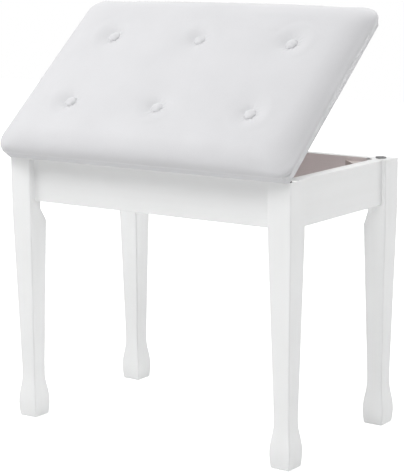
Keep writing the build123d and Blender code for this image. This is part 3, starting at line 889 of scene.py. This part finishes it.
def shapePad(pad):
    x, y, z = points(pad.data).T
    y = y - lidMiddle
    halfX, halfY = np.abs(x).max(), np.abs(y).max()
    skin, rimFuller = padShape["skin"], padShape["rimFuller"]
    rise = np.clip((z - lid["boardTop"]) / (padShape["bulgeHeight"] - lid["boardTop"]), 0, 1)
    top = z > padShape["topLevel"]
    # the solid's round hollows are filled first
    rim, deep = padShape["tuftRim"], padShape["tuftDepth"]
    ball = (rim**2 + deep**2) / (2 * deep)
    for base in buttonBases:
        away = np.hypot(x - base.x, y + lidMiddle - base.y)
        hollow = np.sqrt(ball**2 - np.minimum(away, rim) ** 2) - ball + deep
        z = np.where(top, z + hollow, z)
    # fuller sides, drawn out less at the crease
    sides = skin + rimFuller + rise * (padShape["fuller"] - rimFuller)
    ends = skin + rimFuller * (1 - rise)
    x = x * (1 + sides / halfX)
    y = y * (1 + ends / halfY)
    backward = np.clip(y / halfY, 0, 1)
    y = y + padShape["backFuller"] * backward**2
    z = z + skin * rise
    # a broad crown, and the right end falls away more gently
    sideways = np.clip(np.abs(x) / halfX, 0, 1)
    outer = np.clip((x / halfX - padShape["shoulderStart"]) / (1 - padShape["shoulderStart"]), 0, 1)
    outer = outer**2 * (1 - padShape["shoulderFade"] * backward**4)
    high = np.clip((z - padShape["bulgeHeight"]) / padShape["rollHeight"], 0, 1)
    crown = padShape["crown"] * sideways ** padShape["crownPower"]
    z = z - high * (crown + padShape["shoulder"] * outer)
    setPoints(pad.data, np.stack([x, y + lidMiddle, z], 1))
    # funnels, steepest at the buttons
    x, y, z = evenOut(pad.data, points(pad.data), 2).T
    top = z > padShape["topLevel"]
    for base in buttonBases:
        away = np.hypot(x - base.x, y - base.y)
        out = np.maximum(away - padShape["heldDisc"], 0) / padShape["funnelReach"]
        z = np.where(top, z - padShape["funnelDepth"] * np.exp(-out), z)
    setPoints(pad.data, np.stack([x, y, z], 1))


def gatherCover(pad):
    # finer faces round the buttons, then the pulls, deeper on each button's near right
    def isNear(c, n):
        away = min((c - base).xy.length for base in buttonBases)
        return n.z > pullShape["facing"] and away < pullShape["reach"]

    pick(pad, "FACE", isNear)
    bpy.ops.mesh.subdivide(number_cuts=1)
    done()
    x, y, z = points(pad.data).T
    top = z > padShape["topLevel"]
    for number, base in enumerate(buttonBases):
        away = np.hypot(x - base.x, y - base.y)
        turn = np.arctan2(y - base.y, x - base.x)
        ring = np.exp(-(((away - pullShape["ring"]) / pullShape["width"]) ** 2))
        waver = pullShape["stagger"] * number + pullShape["waver"] * np.sin(2 * turn + number)
        ripple = np.cos(pullShape["count"] * turn + waver)
        part = pullShape["sidePart"]
        side = (1 - part + part * np.cos(turn - pullShape["side"])) ** 2
        z = np.where(top, z + pullShape["depth"] * ring * ripple * side, z)
    setPoints(pad.data, np.stack([x, y, z], 1))


def swell(pad):
    # a short cloth run, held at the rim and under the buttons
    start = points(pad.data)
    held = pad.vertex_groups.new(name="held")
    fixed = start[:, 2] < lid["boardTop"] + padShape["heldRim"]
    for base in buttonBases:
        fixed |= np.hypot(start[:, 0] - base.x, start[:, 1] - base.y) < padShape["heldDisc"]
    held.add([int(i) for i in np.nonzero(fixed)[0]], 1.0, "REPLACE")
    only(pad)
    cloth = pad.modifiers.new("swell", "CLOTH")
    for key, value in padCloth.items():
        setattr(cloth.settings, key, value)
    cloth.settings.effector_weights.gravity = 0
    cloth.collision_settings.use_collision = False
    for timed in (cloth.point_cache, scene):
        timed.frame_start = 1
        timed.frame_end = padShape["frames"]
    for step in range(1, padShape["frames"] + 1):
        scene.frame_set(step)
    bpy.ops.object.modifier_apply(modifier="swell")
    scene.frame_set(1)
    moved = points(pad.data) - start
    largest = np.linalg.norm(moved, axis=1).max()
    moved = evenOut(pad.data, moved, padShape["evening"])
    moved[fixed] = 0
    moved *= min(1.0, padShape["cap"] / np.linalg.norm(moved, axis=1).max())
    setPoints(pad.data, start + moved)
    print("pad swollen, largest free move mm:", round(float(largest) * 1000, 1))


def makePad():
    mesh = nodes["seat_foam"].data.copy()
    mesh.name = "seatPad"
    mesh.transform(lidInverse)
    pad = bpy.data.objects.new("seatPad", mesh)
    scene.collection.objects.link(pad)
    faceOut(pad)
    mesh.remesh_voxel_size = padShape["voxel"]
    bpy.ops.object.voxel_remesh()
    shapePad(pad)
    swell(pad)
    finishWith(pad, "SUBSURF", levels=1, render_levels=1)
    gatherCover(pad)
    pad.data.transform(lidMatrix)
    only(pad)
    bpy.ops.object.shade_smooth()
    handOver(pad, "lid", "cover_leather", coverHide, "seat_foam", "seat_cover")
    print("pad made,", len(pad.data.polygons), "faces")


makePad()

# covered buttons
buttonShape = {
    "sides": 40,
    "radius": 0.0100,
    "edge": 0.0014,
    "dome": 0.0040,
    "steps": 7,
    "flatTop": 0.6,  # the part of a step left flat on top
    "backInset": 0.0012,
    "backDepth": 0.0005,
    "folds": 7,
    "foldDepth": 0.0007,
    "foldStart": 0.6,  # of the radius
    "foldLift": 0.4,
    "turn": 0.9,  # from one button to the next
}


def makeButtons():
    radius, dome, steps = (buttonShape[k] for k in ("radius", "dome", "steps"))
    button = makeRound(buttonShape["sides"], radius, 0, buttonShape["edge"])
    pick(button, "FACE", lambda c, n: n.z > squarely)
    for i in range(steps):
        a, b = (math.pi / 2 * j / (steps + buttonShape["flatTop"]) for j in (i, i + 1))
        bpy.ops.mesh.inset(
            thickness=radius * (math.cos(a) - math.cos(b)), depth=dome * (math.sin(b) - math.sin(a))
        )
    bpy.ops.mesh.poke()
    done()
    pick(button, "FACE", lambda c, n: n.z < -squarely)
    bpy.ops.mesh.inset(thickness=buttonShape["backInset"], depth=-buttonShape["backDepth"])
    done()
    # the cover gathers in small folds at the rim
    places = points(button.data)
    away = np.hypot(places[:, 0], places[:, 1]) / radius
    turn = np.arctan2(places[:, 1], places[:, 0])
    rim = np.clip((away - buttonShape["foldStart"]) / (1 - buttonShape["foldStart"]), 0, 1) ** 2
    fold = np.cos(buttonShape["folds"] * turn) * buttonShape["foldDepth"] * rim
    places[:, 0] += fold * np.cos(turn)
    places[:, 1] += fold * np.sin(turn)
    places[:, 2] += fold * buttonShape["foldLift"]
    setPoints(button.data, places)
    finishWith(button, "SUBSURF", levels=1, render_levels=1)
    places = [
        lidMatrix @ Matrix.Translation(base) @ Matrix.Rotation(buttonShape["turn"] * i, 4, "Z")
        for i, base in enumerate(buttonBases)
    ]
    buttons = copyTo(button, places, "tuftButtons")
    faceOut(buttons)
    softEdges(buttons, 60)
    handOver(buttons, "lid", "cover_leather", coverHide, "tuft_buttons")


makeButtons()
print("buttons made")

# screws, each kind modelled once at the size of its CAD solids
xAxis, yAxis, zAxis = (1, 0, 0), (0, 1, 0), (0, 0, 1)
screwKinds = {
    "block_screws": ("blockScrews", "frame", [xAxis, yAxis]),
    "frame_hinge_screws": ("frameHingeScrews", "frame", [zAxis]),
    "bumper_screws": ("bumperScrews", "frame", [zAxis]),
    "stay_bracket_screws": ("stayBracketScrews", "frame", [yAxis]),
    "lid_hinge_screws": ("lidHingeScrews", "lid", [lidUp]),
    "lid_ear_screws": ("lidEarScrews", "lid", [lidUp]),
}
# edge and slot depth are shares of the head's height, the slot's width and length of its radius
screwShape = {
    "sides": 24,
    "edge": 0.5,
    "edgeSteps": 3,
    "slotWidth": 0.26,
    "slotLength": 1.25,
    "slotDepth": 0.6,
    "turn": 0.7,  # from one screw to the next
}


def measureScrew(solid, directions):
    axis, inner = seatOf(solid, directions)[1:]
    along = (solid - np.array(inner)) @ np.array(axis)
    away = np.linalg.norm(solid - np.array(inner) - np.outer(along, axis), axis=1)
    levels = np.unique(np.round(along, 5))
    return {
        "place": standOn(inner + axis * levels[-2], axis),
        "head": away.max(),
        "height": levels[-1] - levels[-2],
        "shank": away[along < sameLevel].max(),
        "length": levels[-2],
    }


def makeScrew(size):
    head, height = size["head"], size["height"]
    screw = makeRound(screwShape["sides"], head, 0, height)
    roundEdges(screw, height, screwShape["edge"] * height, screwShape["edgeSteps"])
    pick(screw, "FACE", lambda c, n: n.z < -squarely)
    bpy.ops.mesh.inset(thickness=head - size["shank"], depth=0)
    drawUp(-size["length"])
    done()
    slotSize = (
        screwShape["slotLength"] * head,
        screwShape["slotWidth"] * head,
        2 * screwShape["slotDepth"] * height,
    )
    for turn in (0, math.pi / 2):
        cube = bpy.ops.mesh.primitive_cube_add
        slot = addForm("slot", cube, slotSize, size=1, location=(0, 0, height), rotation=(0, 0, turn))
        cutWith(screw, slot)
    return screw


def makeScrews():
    for nodeName, (name, body, directions) in screwKinds.items():
        sizes = [measureScrew(solid, directions) for solid in islandsOf(nodeName)]
        turns = [Matrix.Rotation(screwShape["turn"] * i, 4, "Z") for i in range(len(sizes))]
        places = [size["place"] @ turn for size, turn in zip(sizes, turns)]
        screws = copyTo(makeScrew(sizes[0]), places, name)
        softEdges(screws, 40)
        handOver(screws, body, "zinc_steel", zincPlate, nodeName)


makeScrews()
print("screws made")

# studs, nuts and washers that hold the legs
diagonals = [(math.sqrt(0.5), math.sqrt(0.5), 0), (math.sqrt(0.5), -math.sqrt(0.5), 0)]
boltShape = {"sides": 20, "threadLength": 0.016, "turns": 12, "root": 0.87, "tip": 0.8}
nutShape = {"domeSides": 40, "corner": 0.16, "cornerSteps": 2, "holeSides": 24}
washerShape = {"sides": 36, "edge": 0.2, "edgeSteps": 2, "holeSides": 24}


def innerEnd(solid, flat):
    # the end that points into the box, and the way it points
    first, axis, second = seatOf(solid, diagonals, flat=flat)
    if first.to_2d().length < second.to_2d().length:
        return first, axis, second
    return second, -axis, first


def measureRound(nodeName, flat):
    found = []
    for solid in islandsOf(nodeName):
        end, axis, other = innerEnd(solid, flat)
        along = (solid - np.array(end)) @ np.array(axis)
        away = np.linalg.norm(solid - np.array(end) - np.outer(along, axis), axis=1)
        size = {"outer": away.max(), "inner": away.min(), "length": (end - other).length}
        found.append((standOn(other if flat else end, axis), size))
    return found


def makeBolt(size):
    thread, radius, turns = boltShape["threadLength"], size["outer"], boltShape["turns"]
    bolt = makeRound(boltShape["sides"], radius, -thread, 0)
    pick(bolt, "EDGE", lambda a, b: abs(a.z - b.z) > thread / 2)
    bpy.ops.mesh.subdivide(number_cuts=2 * turns - 1)
    done()
    pick(bolt, "FACE", lambda c, n: n.z < -squarely)
    drawUp(thread - size["length"])
    done()
    # every second ring lies at the thread's root, and the tip is tapered
    places = points(bolt.data)
    ring = np.rint(-places[:, 2] / (thread / (2 * turns))).astype(int)
    inThread = places[:, 2] > -thread - sameLevel
    factor = np.where(inThread & (ring % 2 == 1), boltShape["root"], 1.0)
    factor = np.where(ring == 0, boltShape["tip"], factor)
    places[:, :2] *= factor[:, None]
    setPoints(bolt.data, places)
    return bolt


def makeNut(size):
    height = size["length"]
    nut = makeRound(6, size["outer"], 0, height)
    dome = makeRound(nutShape["domeSides"], size["outer"], 0, height)
    for level in (0, height):
        roundEdges(dome, level, nutShape["corner"] * size["outer"], nutShape["cornerSteps"])
    cutWith(nut, dome, "INTERSECT")
    cutWith(nut, makeRound(nutShape["holeSides"], size["inner"], -height, 2 * height))
    return nut


def makeWasher(size):
    height = size["length"]
    washer = makeRound(washerShape["sides"], size["outer"], 0, height)
    for level in (0, height):
        roundEdges(washer, level, washerShape["edge"] * height, washerShape["edgeSteps"])
    cutWith(washer, makeRound(washerShape["holeSides"], size["inner"], -height, 2 * height))
    return washer


def makeLegFixings():
    for nodeName, name, flat, model in (
        ("leg_bolts", "legBolts", False, makeBolt),
        ("leg_nuts", "legNuts", True, makeNut),
        ("leg_washers", "legWashers", True, makeWasher),
    ):
        found = measureRound(nodeName, flat)
        fixings = copyTo(model(found[0][1]), [place for place, size in found], name)
        softEdges(fixings, 40)
        handOver(fixings, "frame", "dark_steel", darkSteelAndPinShade, nodeName)


makeLegFixings()
print("leg fixings made")

# staples under the lid
stapleShape = {"wire": 0.0009, "round": 0.00018, "roundSteps": 2}


def makeStaples():
    solids = [inLid(solid) for solid in islandsOf("upholstery_staples")]
    places = []
    for solid in solids:
        across = np.ptp(solid[:, 1]) > np.ptp(solid[:, 0])
        turn = Matrix.Rotation(math.pi / 2 if across else 0, 4, "Z")
        spot = (*middleOf(solid)[:2], solid[:, 2].min())
        places.append(lidMatrix @ Matrix.Translation(spot) @ turn)
    first = solids[0]
    width = max(np.ptp(first[:, 0]), np.ptp(first[:, 1]))
    levels = np.unique(np.round(first[:, 2], 5))
    crown, leg = levels[1] - levels[0], levels[-1] - levels[1]
    wire = stapleShape["wire"]
    cube = bpy.ops.mesh.primitive_cube_add
    staple = addForm("staple", cube, (width, wire, crown), size=1, location=(0, 0, crown / 2))
    for side in (-1, 1):
        pick(staple, "FACE", lambda c, n: True)
        bpy.ops.mesh.bisect(plane_co=(side * (width / 2 - wire), 0, 0), plane_no=(1, 0, 0))
        done()
    pick(staple, "FACE", lambda c, n: n.z > squarely and abs(c.x) > width / 2 - wire)
    drawUp(leg)
    done()
    finishWith(
        staple,
        "BEVEL",
        width=stapleShape["round"],
        segments=stapleShape["roundSteps"],
        limit_method="ANGLE",
    )
    staples = copyTo(staple, places, "upholsteryStaples")
    softEdges(staples, 50)
    handOver(staples, "lid", "zinc_steel", zincPlate, "upholstery_staples")


makeStaples()
print("staples made")

# rounded heads on the ends of the hinge pin, dark as painted shade for the gap at the lid's near corner
pinShape = {"radius": 0.0016, "reach": 0.0018, "segments": 16, "rings": 10}


def makePinHeads():
    pin = points(nodes["hinge_pin"].data)
    middle = middleOf(pin)
    head = addForm(
        "pinHead",
        bpy.ops.mesh.primitive_uv_sphere_add,
        (pinShape["reach"] / pinShape["radius"], 1, 1),
        segments=pinShape["segments"],
        ring_count=pinShape["rings"],
        radius=pinShape["radius"],
    )
    places = [Matrix.Translation((x, middle[1], middle[2])) for x in (pin[:, 0].min(), pin[:, 0].max())]
    heads = copyTo(head, places, "pinHeads")
    softEdges(heads, 60)
    handOver(heads, "frame", "dark_steel", darkSteelAndPinShade)


makePinHeads()
print("pin heads made")

# cloth lining under the lid, drawn flat by its staples
liningShape = {
    "rows": 40,
    "columns": 72,
    "thickness": 0.0004,
    "pucker": 0.00035,
    "puckerReach": 0.022,
    "staplePitch": 0.052,
    "sag": 0.0009,
    "sagReach": 0.06,
    "sagStart": 0.4,  # of the reach
    "plateReach": 0.03,
}


def makeLining():
    local = inLid(points(nodes["lid_lining"].data))
    width, length = np.ptp(local, axis=0)[:2]
    middle = middleOf(local)
    lining = addForm(
        "lidLining",
        bpy.ops.mesh.primitive_grid_add,
        (width, length, 1),
        x_subdivisions=liningShape["columns"],
        y_subdivisions=liningShape["rows"],
        size=1,
        location=(0, middle[1], local[:, 2].max() - liningShape["thickness"] / 2),
    )
    places = points(lining.data)
    x, y = places[:, 0], places[:, 1] - middle[1]
    edgeX, edgeY = width / 2 - np.abs(x), length / 2 - np.abs(y)
    inward = np.minimum(edgeX, edgeY)
    along = np.where(edgeX < edgeY, y, x)
    wave = (1 - np.cos(2 * math.pi * along / liningShape["staplePitch"])) / 2
    hang = liningShape["pucker"] * wave * np.exp(-inward / liningShape["puckerReach"])
    sagging = np.clip(inward / liningShape["sagReach"] - liningShape["sagStart"], 0, 1)
    hang += liningShape["sag"] * sagging**2
    # flat under the plates of the stays
    for ear in ("left_lid_ear", "right_lid_ear"):
        plate = inLid(points(nodes[ear].data))
        gap = np.maximum(np.abs(places - middleOf(plate)) - np.ptp(plate, axis=0) / 2, 0)
        hang *= np.clip(np.hypot(gap[:, 0], gap[:, 1]) / liningShape["plateReach"], 0, 1)
    places[:, 2] -= hang
    setPoints(lining.data, places)
    finishWith(lining, "SOLIDIFY", thickness=liningShape["thickness"], offset=0)
    lining.data.transform(lidMatrix)
    faceOut(lining)
    softEdges(lining, 50)
    handOver(lining, "lid", "lining_cloth", liningCloth, "lid_lining")


makeLining()
print("lining made")

# stage: pale floor, white surroundings, soft lamps
stageLook = {
    "floorSize": 9.0,
    "floorDrop": 0.0003,
    "floorTone": 0.80,
    "floorRoughness": 0.9,
    "floorSheen": 0.1,
    "glow": (0.67, 1.05),  # near the bench and far off
    "glowReach": (0.7, 2.2),
    "ambient": 0.12,
}
lamps = {
    "backOverhead": {"spot": (0.2, 1.6, 2.9), "aim": (0, 0, 0.3), "size": 1.6, "power": 36},
    "leftOverhead": {"spot": (-2.1, -0.7, 2.8), "aim": (0, 0, 0.3), "size": 1.4, "power": 26},
    "leftSoftbox": {"spot": (-2.6, -1.6, 1.6), "aim": (0, 0, 0.4), "size": 1.4, "power": 20},
    "cornerSoftbox": {"spot": (-1.4, -1.7, 2.8), "aim": (0, 0, 0.3), "size": 1.4, "power": 30},
    "rightSoftbox": {"spot": (1.5, -1.7, 2.8), "aim": (0, 0, 0.3), "size": 1.4, "power": 37},
    "backSoftbox": {"spot": (1.9, 2.2, 1.2), "aim": (0, 0, 0.4), "size": 1.4, "power": 28},
    "lowFill": {"spot": (0.6, -1.5, 0.1), "aim": (0, 0, 0.35), "size": 0.7, "power": 3},
}


def seenRays(tree):
    # 1 for rays that show the background itself, 0 for the light it gives
    path = tree.nodes.new("ShaderNodeLightPath").outputs
    seen = mathStep(tree, "MAXIMUM", path["Is Camera Ray"], path["Is Glossy Ray"])
    return mathStep(tree, "MAXIMUM", seen, path["Is Transmission Ray"])


def makeFloor():
    floor = addForm(
        "studioFloor",
        bpy.ops.mesh.primitive_grid_add,
        x_subdivisions=4,
        y_subdivisions=4,
        size=stageLook["floorSize"],
        location=(0, 0, -stageLook["floorDrop"]),
    )
    material, tree, shader, place = newMaterial("floorSheet")
    tone = stageLook["floorTone"]
    shader.inputs["Base Color"].default_value = (tone, tone, tone, 1)
    shader.inputs["Roughness"].default_value = stageLook["floorRoughness"]
    shader.inputs["Specular IOR Level"].default_value = stageLook["floorSheen"]
    shader.inputs["Emission Color"].default_value = (1, 1, 1, 1)
    away = addNode(tree, "ShaderNodeVectorMath", operation="LENGTH")
    tree.links.new(place, away.inputs[0])
    glow = span(tree, away.outputs["Value"], stageLook["glowReach"], stageLook["glow"])
    strength = mathStep(tree, "MULTIPLY", seenRays(tree), glow)
    tree.links.new(strength, shader.inputs["Emission Strength"])
    floor.data.materials.append(material)


def makeWorld():
    world = bpy.data.worlds.new("studio")
    scene.world = world
    world.use_nodes = True
    tree = world.node_tree
    backdrop = tree.nodes["Background"]
    backdrop.inputs["Color"].default_value = (1, 1, 1, 1)
    strength = span(tree, seenRays(tree), (0.0, 1.0), (stageLook["ambient"], 1.0))
    tree.links.new(strength, backdrop.inputs["Strength"])


def makeLamps():
    for name, lamp in lamps.items():
        data = bpy.data.lights.new(name, "AREA")
        data.shape = "SQUARE"
        data.size = lamp["size"]
        data.energy = lamp["power"]
        light = bpy.data.objects.new(name, data)
        scene.collection.objects.link(light)
        light.location = lamp["spot"]
        aim = Vector(lamp["aim"]) - Vector(lamp["spot"])
        light.rotation_euler = aim.to_track_quat("-Z", "Y").to_euler()


makeFloor()
makeWorld()
makeLamps()
scene.view_settings.view_transform = "Standard"
print("stage set")
